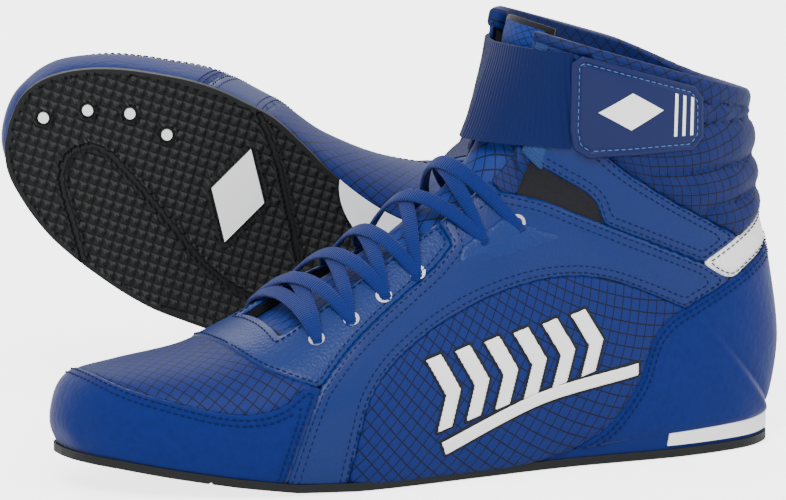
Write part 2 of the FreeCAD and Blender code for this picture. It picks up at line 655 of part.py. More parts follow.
stand = Placement(Vector(size("heel_seat"), 0, 0), Rotation())
yaw, rise, lean = [math.radians(size(name)) for name in ("right_yaw", "right_raise", "right_lean")]
shaft_way = Vector(math.sin(yaw) * math.cos(lean), math.cos(yaw) * math.cos(lean), math.sin(lean))
level = Vector(math.cos(yaw), -math.sin(yaw), 0)
up = level.cross(shaft_way)
if up.z < 0:
    up = up * -1
heel_way = level * math.cos(rise) - up * math.sin(rise)
turned = Rotation(heel_way, shaft_way.cross(heel_way), shaft_way, "XYZ")
lying = {label: solids_of(feature.Shape).mirror(Vector(0, 0, 0), Vector(0, 1, 0))
         for label, (feature, body) in NODES.items()}
lowest = min(lying[label].transformed(Placement(Vector(), turned).toMatrix())
             .optimalBoundingBox(False, False).ZMin
             for label in ("outsole", "wedge", "heel_strip", "shaft", "strap_tab", "tab_badge"))
laid = Placement(Vector(size("right_ahead"), size("right_aside"), -lowest), turned)

os.makedirs("parts", exist_ok=True)
for label, (feature, body) in NODES.items():
    for side, shape, place in (("left_", solids_of(feature.Shape), stand),
                               ("right_", lying[label], laid)):
        piece = fixed(side + label, shape)
        piece.Placement = place
        piece.Label = side + label
        if piece.Shape.isNull() or not piece.Shape.isValid():
            raise RuntimeError("bad shape: " + piece.Name)
        piece.Shape.exportStep("parts/" + piece.Label + ".step")
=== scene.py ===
import json
import math

import bmesh
import bpy
import numpy as np
from mathutils import Matrix, Vector

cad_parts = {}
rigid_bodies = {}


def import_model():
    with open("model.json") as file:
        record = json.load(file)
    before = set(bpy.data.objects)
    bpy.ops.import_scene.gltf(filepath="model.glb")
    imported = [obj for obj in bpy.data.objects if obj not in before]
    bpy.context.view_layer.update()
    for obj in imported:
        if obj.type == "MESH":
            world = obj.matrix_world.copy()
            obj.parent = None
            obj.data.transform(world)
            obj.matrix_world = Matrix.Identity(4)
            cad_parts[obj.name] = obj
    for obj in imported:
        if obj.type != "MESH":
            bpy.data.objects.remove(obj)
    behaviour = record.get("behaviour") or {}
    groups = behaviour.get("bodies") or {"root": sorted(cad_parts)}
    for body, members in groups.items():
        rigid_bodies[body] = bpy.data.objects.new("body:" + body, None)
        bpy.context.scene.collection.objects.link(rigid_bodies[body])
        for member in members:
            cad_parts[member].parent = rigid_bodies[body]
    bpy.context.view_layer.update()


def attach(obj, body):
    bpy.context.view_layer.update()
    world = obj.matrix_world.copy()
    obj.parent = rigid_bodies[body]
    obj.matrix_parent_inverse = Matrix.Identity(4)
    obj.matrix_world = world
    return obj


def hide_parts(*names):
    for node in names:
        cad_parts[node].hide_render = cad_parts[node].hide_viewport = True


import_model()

# ---------------------------------------------------------------------------------------------
# The shape of the upper, in millimetres from the heel: the same section table as the solids.
COLUMNS = ("ridge_x", "ridge_z", "low_x", "low_z", "centre", "wide_lat", "wide_med",
           "sole_lat", "sole_med", "widest", "round_up", "round_low")
STATIONS = [
    (-291.5, 16.5, -291.5, 16.5, 14, 0, 0, 0, 0, .60, 2.0, 2.0),
    (-295, 27, -290.8, 16.4, 14, 10, 10, 8, 8, .60, 2.1, 2.0),
    (-291, 39.5, -288, 16, 13.5, 18, 17.5, 16, 15.5, .60, 2.3, 2.0),
    (-283, 45.5, -281, 15, 13, 27, 26.5, 24, 23.5, .60, 2.4, 2.0),
    (-263, 48.5, -264, 12, 11, 38, 37, 35, 34, .60, 2.4, 2.0),
    (-238, 52.5, -240, 8, 8, 45, 44.5, 42, 42, .62, 2.3, 2.0),
    (-214, 63, -217, 5, 5, 48, 48.5, 45, 46, .64, 2.15, 2.0),
    (-192, 77, -192, 4, 2, 47, 46, 44, 44, .66, 2.0, 2.0),
    (-172, 90, -163, 4, -1, 42.5, 38.5, 39, 31, .66, 1.95, 2.0),
    (-153, 103, -128, 4, -2, 39, 34.5, 33.5, 20.5, .64, 1.95, 2.0),
    (-137, 115, -90, 7.5, -2, 36.5, 33.5, 30, 24, .60, 2.0, 2.0),
    (-126, 126, -50, 10.5, -1, 35, 33.5, 31, 30, .57, 2.05, 2.1),
    (-121.5, 135, -18, 11.5, 0, 34.5, 34, 26, 26, .55, 2.1, 2.2),
    (-120, 139, -6, 12, 0, 34.5, 34, 19, 19, .54, 2.1, 2.2),
    (-119, 142, 1.5, 12.5, 0, 34.8, 34.3, 9.5, 9.5, .53, 2.15, 2.3),
    (-118, 145, 4, 14, 0, 35, 34.5, 0, 0, .53, 2.15, 2.3),
    (-116, 151, 9, 39, 0, 36, 35.5, 0, 0, .52, 2.2, 2.2),
    (-114, 156, 5, 70, 0, 37, 36.5, 0, 0, .5, 2.2, 2.2),
    (-112, 162, -2, 99, 0, 38, 37.5, 0, 0, .5, 2.2, 2.2),
    (-110.5, 168, -5, 122, 0, 39, 38.5, 0, 0, .5, 2.2, 2.2),
    (-109, 174, -6.5, 141, 0, 39.5, 39, 0, 0, .5, 2.2, 2.2),
    (-107.5, 180, -7, 147, 0, 39.5, 39, 0, 0, .5, 2.2, 2.2),
]
HEEL, COLLAR = 15, 20
TOE_INWARD = (0.75, 0.66)


def blend(column, s):
    """A column of the section table at any s, smooth and free of overshoot."""
    last = len(STATIONS) - 1
    index = min(int(s), last - 1)
    f = s - index
    k = COLUMNS.index(column)

    def value(i):
        return STATIONS[min(max(i, 0), last)][k]

    def slope(i):
        before, after = value(i) - value(i - 1), value(i + 1) - value(i)
        if i <= 0:
            return after
        if i >= last:
            return before
        return 2 * before * after / (before + after) if before * after > 0 else 0.0

    rise = value(index + 1) - value(index)
    ends = slope(index) + slope(index + 1)
    return value(index) + f * slope(index) + f * f * (3 * rise - ends - slope(index)) \
        + f * f * f * (ends - 2 * rise)


def inward(path, s):
    """Unit vector in the side view, at right angles to the ridge or low path, into the boot."""
    a, b = max(s - 0.05, 0), min(s + 0.05, len(STATIONS) - 1)
    dx = blend(path + "_x", b) - blend(path + "_x", a)
    dz = blend(path + "_z", b) - blend(path + "_z", a)
    turn = 1 if path == "ridge" else -1
    nx, nz = turn * dz / math.hypot(dx, dz), -turn * dx / math.hypot(dx, dz)
    if s < 1:
        nx, nz = nx * s + TOE_INWARD[0] * (1 - s), nz * s + TOE_INWARD[1] * (1 - s)
    return nx, nz


def quarter(a, b, power, angle):
    """Point of a superellipse quarter, a along angle 0 and b along 90 degrees."""
    turn = math.atan2(b * math.sin(angle), a * math.cos(angle))
    c, s = math.cos(turn), math.sin(turn)
    reach = (abs(c / a) ** power + abs(s / b) ** power) ** (-1 / power)
    return reach * c, reach * s


def upper_point(s, across, depth):
    """Point of the upper: section s, across from -1 (lateral edge) by 0 (ridge) to 1 (medial)."""
    nx, nz = inward("ridge", s)
    rx, rz = blend("ridge_x", s) + depth * nx, blend("ridge_z", s) + depth * nz
    nx, nz = inward("low", s)
    lx, lz = blend("low_x", s) + depth * nx, blend("low_z", s) + depth * nz
    side = "lat" if across < 0 else "med"
    wide = blend("wide_" + side, s) - depth * min(1, s)
    foot = blend("sole_" + side, s)
    foot -= depth * min(1, foot / 12)
    length = math.hypot(lx - rx, lz - rz)
    if length < 1e-6:
        return (rx, blend("centre", s), rz)
    upper = blend("widest", s)
    turn = abs(across) * 2
    if turn <= 1:
        down, half = quarter(upper * length, wide, blend("round_up", s), turn * math.pi / 2)
        along = upper - down / length
    else:
        out, down = quarter(wide - foot, (1 - upper) * length, blend("round_low", s),
                            (turn - 1) * math.pi / 2)
        half, along = foot + out, upper + down / length
    if across in (-1, 0, 1):
        half = foot if across else 0
    sign = -1 if across < 0 else 1
    return (rx + (lx - rx) * along, blend("centre", s) + sign * half, rz + (lz - rz) * along)


# ---------------------------------------------------------------------------------------------
# A dense grid of the surface: rows along the boot, columns from the lateral to the medial edge.
ROWS, COLS = 200, 220
S = np.linspace(0.02, COLLAR + 0.95, ROWS + 1)
A = np.linspace(-1, 1, COLS + 1)


def grid_at(depth):
    return np.array([[upper_point(s, a, depth) for a in A] for s in S])


P0 = grid_at(0)
DEEP = grid_at(1) - P0
GX, GY, GZ = P0[..., 0], P0[..., 1], P0[..., 2]
GS, GA = np.meshgrid(S, A, indexing="ij")
along = np.linalg.norm(np.diff(P0[:, COLS // 4], axis=0), axis=1)
U = np.concatenate([[0], np.cumsum(along)])
around = np.linalg.norm(np.diff(P0, axis=1), axis=2)
V = np.concatenate([np.zeros((ROWS + 1, 1)), np.cumsum(around, axis=1)], axis=1)
V -= V[:, COLS // 2][:, None]
UV = np.stack([np.repeat(U[:, None], COLS + 1, axis=1), V], axis=-1)


class Patch:
    """Part of the grid: places, inward steps and panel coordinates, with a finer step if asked."""

    def __init__(self, rows=slice(None), cols=slice(None), finer=1):
        self.places, self.deep, self.uv = [self.refine(grid[rows, cols], finer)
                                           for grid in (P0, DEEP, UV)]
        self.x, self.z = self.places[..., 0], self.places[..., 2]

    @staticmethod
    def refine(grid, finer):
        """The grid with finer times as many steps each way, filled in linearly."""
        for axis in (0, 1):
            count = grid.shape[axis]
            marks = np.linspace(0, count - 1, (count - 1) * finer + 1)
            low = np.minimum(marks.astype(int), count - 2)
            part = (marks - low).reshape([-1 if k == axis else 1 for k in range(3)])
            grid = np.take(grid, low, axis) * (1 - part) + np.take(grid, low + 1, axis) * part
        return grid


def window(x_from, x_to, z_from, z_to, finer):
    """Finer patch of the lateral side round a rectangle in side view."""
    inside_it = (GX > x_from) & (GX < x_to) & (GZ > z_from) & (GZ < z_to) & (GA < 0)
    i, j = np.nonzero(inside_it)
    return Patch(slice(i.min(), i.max() + 1), slice(j.min(), j.max() + 1), finer)


WHOLE = Patch()


def smooth(points, count=10):
    """Catmull-Rom curve through the points."""
    if len(points) < 3:
        return list(points)
    ends = [points[0]] + list(points) + [points[-1]]
    out = []
    for i in range(1, len(ends) - 2):
        a, b, c, d = [np.array(ends[i + k], float) for k in (-1, 0, 1, 2)]
        for t in np.linspace(0, 1, count, endpoint=False):
            out.append(tuple(0.5 * (2 * b + (c - a) * t + (2 * a - 5 * b + 4 * c - d) * t * t
                                    + (3 * b - a - 3 * c + d) * t ** 3)))
    return out + [points[-1]]


def ring(*runs):
    """Closed outline; runs of three or more points are smooth curves."""
    return [p for run in runs for p in smooth(run)]


def to_line(points, x, y, closed=False):
    """Distance from x, y to a line of points."""
    pairs = list(zip(points, points[1:]))
    if closed:
        pairs.append((points[-1], points[0]))
    best = np.full(np.shape(x), 1e9)
    for (ax, ay), (bx, by) in pairs:
        dx, dy = bx - ax, by - ay
        size = dx * dx + dy * dy
        if size < 1e-9:
            continue
        t = np.clip(((x - ax) * dx + (y - ay) * dy) / size, 0, 1)
        best = np.minimum(best, np.hypot(x - ax - t * dx, y - ay - t * dy))
    return best


def inside(points, x, y):
    """Signed distance to a closed outline, negative inside."""
    odd = np.zeros(np.shape(x), bool)
    for (ax, ay), (bx, by) in zip(points, points[1:] + points[:1]):
        if ay == by:
            continue
        crosses = (ay > y) != (by > y)
        odd ^= crosses & (x < (bx - ax) * (y - ay) / (by - ay) + ax)
    return np.where(odd, -1, 1) * to_line(points, x, y, closed=True)


# ---------------------------------------------------------------------------------------------
# Pieces are drawn once as the left boot; the right boot is its mirror image, turned and laid.
LEFT_HEEL, RIGHT_HEEL = (60, 0, 0), (67, 58, 22.387)        # where the heel points lie, mm
RIGHT_TURNED, RIGHT_RAISED, RIGHT_LEANED = 25, 15.5, 3.5    # degrees, as the solids
LEFT = Matrix.Translation(Vector(LEFT_HEEL))
yaw, rise, lean = [math.radians(angle) for angle in (RIGHT_TURNED, RIGHT_RAISED, RIGHT_LEANED)]
shaft_way = Vector((math.sin(yaw) * math.cos(lean), math.cos(yaw) * math.cos(lean),
                    math.sin(lean)))
level = Vector((math.cos(yaw), -math.sin(yaw), 0))
up = level.cross(shaft_way)
up = up if up.z > 0 else -up
heel_way = level * math.cos(rise) - up * math.sin(rise)
turn = Matrix((heel_way, shaft_way.cross(heel_way), shaft_way)).transposed().to_4x4()
RIGHT = Matrix.Translation(Vector(RIGHT_HEEL)) @ turn @ Matrix.Scale(-1, 4, (0, 1, 0))
MM = Matrix.Scale(0.001, 4)


def pair(name, verts, faces, material, node=None, body="boot", uvs=None, flat=False, merge=0.02):
    """One piece for each boot from vertices in millimetres; replaces the node of that name."""
    made = []
    for side, place in (("left", LEFT), ("right", RIGHT)):
        mesh = bpy.data.meshes.new(side + "_" + name + "_skin")
        mesh.from_pydata([tuple(v) for v in verts], [], [tuple(f) for f in faces])
        if uvs is not None:
            layer = mesh.uv_layers.new(name="mm")
            index = np.array([loop.vertex_index for loop in mesh.loops])
            layer.data.foreach_set("uv", np.asarray(uvs, np.float32)[index].ravel())
        work = bmesh.new()
        work.from_mesh(mesh)
        bmesh.ops.transform(work, matrix=MM @ place, verts=work.verts)
        if side == "right":
            bmesh.ops.reverse_faces(work, faces=work.faces)
        if merge:
            bmesh.ops.remove_doubles(work, verts=work.verts, dist=merge / 1000)
        work.to_mesh(mesh)
        work.free()
        mesh.polygons.foreach_set("use_smooth", [not flat] * len(mesh.polygons))
        piece = bpy.data.objects.new(side + "_" + name + "_skin", mesh)
        bpy.context.scene.collection.objects.link(piece)
        mesh.materials.append(material)
        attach(piece, side + "_" + body)
        if node:
            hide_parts(side + "_" + node)
        made.append(piece)
    return made


class Region:
    """The part of the surface grid where a field is below zero, cut along its edge."""

    def __init__(self, field):
        self.points, self.weights, self.faces = {}, [], []
        low = np.minimum.reduce([field[:-1, :-1], field[1:, :-1], field[:-1, 1:], field[1:, 1:]])
        for i, j in zip(*np.nonzero(low < 0)):
            corners = [(i, j), (i + 1, j), (i + 1, j + 1), (i, j + 1)]
            face = []
            for one, two in zip(corners, corners[1:] + corners[:1]):
                f, g = field[one], field[two]
                if f < 0:
                    face.append(self.point(one, one, 0.0))
                if (f < 0) != (g < 0):
                    first, second = min(one, two), max(one, two)
                    f, g = field[first], field[second]
                    face.append(self.point(first, second, f / (f - g)))
            if len(face) > 2:
                self.faces.append(face)

    def point(self, one, two, part):
        """Number of the vertex part of the way from one grid point to the next."""
        key = (one, two)
        if key not in self.points:
            self.points[key] = len(self.weights)
            self.weights.append((one, two, part))
        return self.points[key]

    def take(self, grid):
        """Values of a grid at every vertex of the region."""
        one = np.array([w[0] for w in self.weights])
        two = np.array([w[1] for w in self.weights])
        part = np.array([w[2] for w in self.weights])
        a, b = grid[one[:, 0], one[:, 1]], grid[two[:, 0], two[:, 1]]
        part = part.reshape((-1,) + (1,) * (a.ndim - 1))
        return a * (1 - part) + b * part

    def rim(self):
        """Edges that belong to one face only."""
        count = {}
        for face in self.faces:
            for a, b in zip(face, face[1:] + face[:1]):
                key = (min(a, b), max(a, b))
                count[key] = None if key in count else (a, b)
        return [edge for edge in count.values() if edge]


def rounded(distance, width):
    """Height of a rolled edge, 0 at the edge and 1 from width inward."""
    t = np.clip(distance / width, 0, 1)
    return np.sqrt(1 - (1 - t) ** 2)


def skin(name, field, material, top=0.0, bottom=0.9, proud=0.35, roll=1.6, relief=None,
         node=None, body="boot", on=WHOLE):
    """A panel: outer face proud of the surface with a rolled edge, inner face and rim."""
    region = Region(field)
    if not region.faces:
        return []
    base, deep = region.take(on.places), region.take(on.deep)
    high = proud * rounded(np.maximum(-region.take(field), 0), roll)
    if relief is not None:
        high = high + region.take(relief)
    outer = base + deep * (top - high)[:, None]
    inner = base + deep * bottom
    count = len(base)
    faces = list(region.faces)
    faces += [[v + count for v in face[::-1]] for face in region.faces]
    faces += [[b, a, a + count, b + count] for a, b in region.rim()]
    uv = region.take(on.uv)
    return pair(name, np.vstack([outer, inner]), faces, material, node=node, body=body,
                uvs=np.vstack([uv, uv]))


def contour(field, level):
    """Lines on the grid where the field has this value, as lists of grid edge crossings."""
    f = field - level
    links = {}
    low = np.minimum.reduce([f[:-1, :-1], f[1:, :-1], f[:-1, 1:], f[1:, 1:]])
    high = np.maximum.reduce([f[:-1, :-1], f[1:, :-1], f[:-1, 1:], f[1:, 1:]])
    for i, j in zip(*np.nonzero((low < 0) & (high >= 0))):
        corners = [(i, j), (i + 1, j), (i + 1, j + 1), (i, j + 1)]
        hits = []
        for one, two in zip(corners, corners[1:] + corners[:1]):
            if (f[one] < 0) != (f[two] < 0):
                hits.append((min(one, two), max(one, two)))
        if len(hits) == 2:
            links.setdefault(hits[0], []).append(hits[1])
            links.setdefault(hits[1], []).append(hits[0])
    lines = []
    while links:
        start = next((k for k, v in links.items() if len(v) == 1), next(iter(links)))
        line = [start]
        while line[-1] in links:
            options = links.pop(line[-1])
            onward = [k for k in options if k in links]
            if not onward:
                break
            line.append(onward[0])
        if len(line) > 3:
            lines.append(line)
    return lines, f


THREAD, STITCH, GAP = 0.28, 2.0, 0.75            # radius, length and space between, in mm
THREAD_SIDES, SHORTEST = 5, 0.5                  # faces round, least length sewn, in mm
THREAD_RINGS = ((0, 0.3, -0.25), (0.15, 0.85, 0), (0.5, 1, 0.12), (0.85, 0.85, 0),
                (1, 0.3, -0.25))                 # place along, fatness, lift


def one_stitch(centre, normal, verts, faces):
    """Add a thread with its two ends sunk into the panel."""
    ahead = centre[-1] - centre[0]
    size = np.linalg.norm(ahead)
    if size < SHORTEST:
        return
    ahead = ahead / size
    first = len(verts)
    for k, (_, fat, lift) in enumerate(THREAD_RINGS):
        up_way = normal[k] / np.linalg.norm(normal[k])
        side_way = np.cross(ahead, up_way)
        for n in range(THREAD_SIDES):
            angle = 2 * math.pi * n / THREAD_SIDES
            verts.append(centre[k] + up_way * (lift + fat * THREAD * math.sin(angle))
                         + side_way * fat * THREAD * math.cos(angle))
    for k in range(len(THREAD_RINGS) - 1):
        for n in range(THREAD_SIDES):
            a = first + THREAD_SIDES * k + n
            b = first + THREAD_SIDES * k + (n + 1) % THREAD_SIDES
            faces.append((a, b, b + THREAD_SIDES, a + THREAD_SIDES))


def stitches(name, rows, material, depth=-0.42, body="boot"):
    """Sewn rows: one short thread after another along each contour of each field."""
    verts, faces = [], []
    for field, level_at in rows:
        lines, f = contour(field, level_at)
        for line in lines:
            path, out = [], []
            for one, two in line:
                t = f[one] / (f[one] - f[two])
                deep = DEEP[one] * (1 - t) + DEEP[two] * t
                path.append(P0[one] * (1 - t) + P0[two] * t + deep * depth)
                out.append(-deep)
            path, out = np.array(path), np.array(out)
            run = np.concatenate([[0], np.cumsum(np.linalg.norm(np.diff(path, axis=0), axis=1))])
            for start in np.arange(GAP, run[-1] - STITCH, STITCH + GAP):
                marks = start + STITCH * np.array([ring_at[0] for ring_at in THREAD_RINGS])
                centre = np.stack([np.interp(marks, run, path[:, k]) for k in range(3)], 1)
                normal = np.stack([np.interp(marks, run, out[:, k]) for k in range(3)], 1)
                one_stitch(centre, normal, verts, faces)
    if faces:
        pair(name, verts, faces, material, body=body, merge=0)


# ---------------------------------------------------------------------------------------------
# Materials.
def shader(name, color, rough=0.6, coat=0.0, sheen=0.0, metal=0.0):
    """Plain material; the others start from it."""
    material = bpy.data.materials.new(name)
    material.use_nodes = True
    base = material.node_tree.nodes["Principled BSDF"]
    base.inputs["Base Color"].default_value = (*color, 1)
    base.inputs["Roughness"].default_value = rough
    base.inputs["Coat Weight"].default_value = coat
    base.inputs["Coat Roughness"].default_value = 0.3
    base.inputs["Sheen Weight"].default_value = sheen
    base.inputs["Sheen Roughness"].default_value = 0.4
    base.inputs["Metallic"].default_value = metal
    base.inputs["Specular IOR Level"].default_value = 0.5 if metal else 0.2
    return material


def add(material, kind, **values):
    """A new shader node with these settings."""
    node = material.node_tree.nodes.new(kind)
    for key, value in values.items():
        setattr(node, key, value)
    return node


def join(material, source, target):
    material.node_tree.links.new(source, target)


def calc(material, operation, *values):
    """Output of a math node; each value is a number or another node's output."""
    node = add(material, "ShaderNodeMath", operation=operation)
    for index, value in enumerate(values):
        if isinstance(value, (int, float)):
            node.inputs[index].default_value = value
        else:
            join(material, value, node.inputs[index])
    return node.outputs[0]


def coords(material, kind="Object"):
    """Coordinates in millimetres: of the object, or along and around the panel."""
    if kind == "mm":
        source = add(material, "ShaderNodeUVMap", uv_map="mm").outputs[0]
        scale = 1
    else:
        source = add(material, "ShaderNodeTexCoord").outputs[kind]
        scale = 1000
    mapping = add(material, "ShaderNodeVectorMath", operation="SCALE")
    mapping.inputs["Scale"].default_value = scale
    join(material, source, mapping.inputs[0])
    return mapping.outputs[0]


def bump(material, height, distance, strength=1.0):
    node = add(material, "ShaderNodeBump")
    node.inputs["Distance"].default_value = distance
    node.inputs["Strength"].default_value = strength
    join(material, height, node.inputs["Height"])
    join(material, node.outputs[0],
         material.node_tree.nodes["Principled BSDF"].inputs["Normal"])


def mottled(material, where, scale, dark, color, detail=6):
    """Noise that darkens the colour a little; returns its value and the node that mixes it."""
    noise = add(material, "ShaderNodeTexNoise")
    noise.inputs["Scale"].default_value = scale
    noise.inputs["Detail"].default_value = detail
    join(material, where, noise.inputs["Vector"])
    mix = add(material, "ShaderNodeMix", data_type="RGBA")
    mix.inputs[6].default_value = (*[c * dark for c in color], 1)
    mix.inputs[7].default_value = (*color, 1)
    join(material, noise.outputs[0], mix.inputs[0])
    join(material, mix.outputs[2],
         material.node_tree.nodes["Principled BSDF"].inputs["Base Color"])
    return noise.outputs[0], mix


def line_mask(material, value, pitch, width):
    """1 within a line repeated every pitch, else 0."""
    wave = calc(material, "PINGPONG", value, pitch / 2)
    return calc(material, "LESS_THAN", wave, width / 2)


def ripstop(name, color, pitch=4.3, slant=0.62):
    """Fine weave with dark slanted lines across each other, pitch in mm, slant in radians."""
    material = shader(name, color, rough=0.58, sheen=0.05)
    where = coords(material, "mm")
    parts = add(material, "ShaderNodeSeparateXYZ")
    join(material, where, parts.inputs[0])
    c, s = math.cos(slant), math.sin(slant)
    u = calc(material, "ADD", calc(material, "MULTIPLY", parts.outputs[0], c),
             calc(material, "MULTIPLY", parts.outputs[1], s))
    v = calc(material, "SUBTRACT", calc(material, "MULTIPLY", parts.outputs[1], c),
             calc(material, "MULTIPLY", parts.outputs[0], s))
    lines = calc(material, "MAXIMUM", line_mask(material, u, pitch, 0.5),
                 line_mask(material, v, pitch, 0.5))
    _, mix = mottled(material, where, 1.5, 0.8, color)
    over = add(material, "ShaderNodeMix", data_type="RGBA")
    over.inputs[7].default_value = (*[k * 0.16 for k in color], 1)
    join(material, lines, over.inputs[0])
    join(material, mix.outputs[2], over.inputs[6])
    join(material, over.outputs[2],
         material.node_tree.nodes["Principled BSDF"].inputs["Base Color"])
    fine = calc(material, "ADD", calc(material, "PINGPONG", u, 0.35),
                calc(material, "PINGPONG", v, 0.35))
    height = calc(material, "SUBTRACT", calc(material, "MULTIPLY", fine, 0.25), lines)
    bump(material, height, 0.0003, 0.8)
    return material


def suede(name, color):
    """Short nap, lighter and darker in patches."""
    material = shader(name, color, rough=0.92, sheen=0.25)
    where = coords(material)
    noise, _ = mottled(material, where, 0.35, 0.62, color, detail=12)
    bump(material, noise, 0.0006, 0.5)
    return material


def smooth_hide(name, color, rough=0.42, grain=1.2, deep=0.00015, coat=0.12):
    """Coated synthetic with a fine grain."""
    material = shader(name, color, rough=rough, coat=coat)
    where = coords(material)
    cells = add(material, "ShaderNodeTexVoronoi")
    cells.inputs["Scale"].default_value = grain
    join(material, where, cells.inputs["Vector"])
    bump(material, cells.outputs[0], deep, 0.6)
    return material


def ribbed(name, color, pitch, axis=0, kind="mm", rough=0.8):
    """Woven web with a rib every pitch millimetres along one axis."""
    material = shader(name, color, rough=rough, sheen=0.08)
    parts = add(material, "ShaderNodeSeparateXYZ")
    join(material, coords(material, kind), parts.inputs[0])
    wave = calc(material, "PINGPONG", parts.outputs[axis], pitch / 2)
    bump(material, wave, 0.0008, 0.9)
    return material


blue_ripstop = ripstop("ripstop", (0.0018, 0.0132, 0.1279))
shaft_ripstop = ripstop("ripstop_shaft", (0.0013, 0.0103, 0.1002))
blue_suede = suede("suede_nap", (0.0016, 0.0140, 0.1409))
blue_smooth = smooth_hide("synthetic_smooth", (0.0024, 0.0158, 0.1117))
blue_grained = smooth_hide("synthetic_grained", (0.0029, 0.0196, 0.1238), 0.42, 0.8, 0.0003)
white_smooth = smooth_hide("synthetic_white", (0.86, 0.86, 0.85), 0.45, 1.2, 0.0001)
blue_thread = shader("thread", (0.0015, 0.0066, 0.0504), rough=0.8)
black_rubber = shader("rubber", (0.010, 0.0105, 0.011), rough=0.5)
black_web = ribbed("gore_web", (0.012, 0.012, 0.016), 0.9, axis=0)
white_plastic = shader("white_gloss", (0.95, 0.95, 0.95), rough=0.35)
blue_foam = shader("wedge_foam", (0.0013, 0.0103, 0.1066), rough=0.7)
blue_elastic = ribbed("elastic_web", (0.0013, 0.0076, 0.0694), 1.3, axis=1, kind="Object")
lace_web = ribbed("lace_weave", (0.0015, 0.0153, 0.1384), 1.1, axis=1, kind="mm")
tab_rubber = shader("tab_moulded", (0.0013, 0.0071, 0.0662), rough=0.42, coat=0.15)
black_cloth = suede("lining_cloth", (0.012, 0.012, 0.016))
tongue_cloth = suede("tongue_cloth", (0.0023, 0.0149, 0.1200))
ring_metal = shader("eyelet_ring", (0.75, 0.77, 0.8), rough=0.25, metal=1.0)
board_grey = shader("board_fibre", (0.5, 0.46, 0.4), rough=0.9)

CAD_LOOKS = {"pivot_dots": white_plastic, "sole_badge": white_plastic, "arch_shank": white_plastic,
             "wedge": blue_foam, "heel_strip": white_plastic, "insole_board": board_grey,
             "footbed": black_cloth, "toe_puff": board_grey, "heel_stiffener": board_grey,
             "lining": black_cloth, "tongue": tongue_cloth, "eyelets": ring_metal,
             "strap_elastic": blue_elastic, "hook_pad": black_cloth, "loop_pad": black_cloth,
             "side_graphic": white_plastic, "tab_badge": white_plastic, "gores": black_web,
             "outsole": black_rubber, "lace": lace_web, "strap_tab": tab_rubber,
             "shaft": shaft_ripstop, "vamp": blue_ripstop, "toe_rand": blue_suede,
             "side_panels": blue_ripstop, "arch_bands": blue_smooth, "eyestays": blue_grained,
             "ankle_overlays": blue_smooth, "heel_stripe": white_smooth,
             "heel_counter": blue_suede}
for item in list(bpy.data.objects):
    for label, look in CAD_LOOKS.items():
        if item.name in ("left_" + label, "right_" + label):
            item.data.materials.clear()
            item.data.materials.append(look)

# ---------------------------------------------------------------------------------------------
# Panels of the upper, dealt in the order of their seams.
RAND_TOP = [(-286, 48), (-278, 43), (-266, 39), (-247, 34), (-233, 33), (-222, 36), (-213, 42),
            (-207, 42)]
BAND_FRONT = [(-207, 42), (-213, 30), (-218, 16), (-222, 2)]
EYESTAY_FRONT = [(-236, 62), (-228, 51), (-219, 46.5), (-207, 42)]
EYESTAY_SEAM = [(-207, 42), (-194, 55), (-180, 65.5), (-167, 74), (-152, 84), (-143, 92)]
ARCH_INNER = [(-196, 2), (-192, 21), (-186, 38), (-172, 52), (-147, 66), (-119, 75), (-96, 77),
              (-78, 74), (-60, 67), (-45, 60)]
BAND_TOP = [(-121, 111), (-105, 107), (-91, 101), (-77, 95), (-61, 88), (-38, 78)]
COUNTER_FRONT = [(-45, 60), (-52, 56), (-59, 48), (-65, 33), (-73, 22), (-81, 14), (-92, 8),
                 (-96, 2)]
COUNTER_TOP = [(-45, 60), (-26, 69), (20, 90)]
STRIPE_LOW = [(-38, 78), (-25, 71), (-14, 75.5), (20, 92)]
STRIPE_TOP = [(-38, 78), (-20, 87), (20, 107)]
GORE_EDGE = [(-107, 122), (-96, 115), (-88, 110), (-83, 105), (-80, 96.2)]
OVERLAY_TOP = [(-20, 87), (-53, 105), (-78, 123), (-86, 140), (-88, 190)]

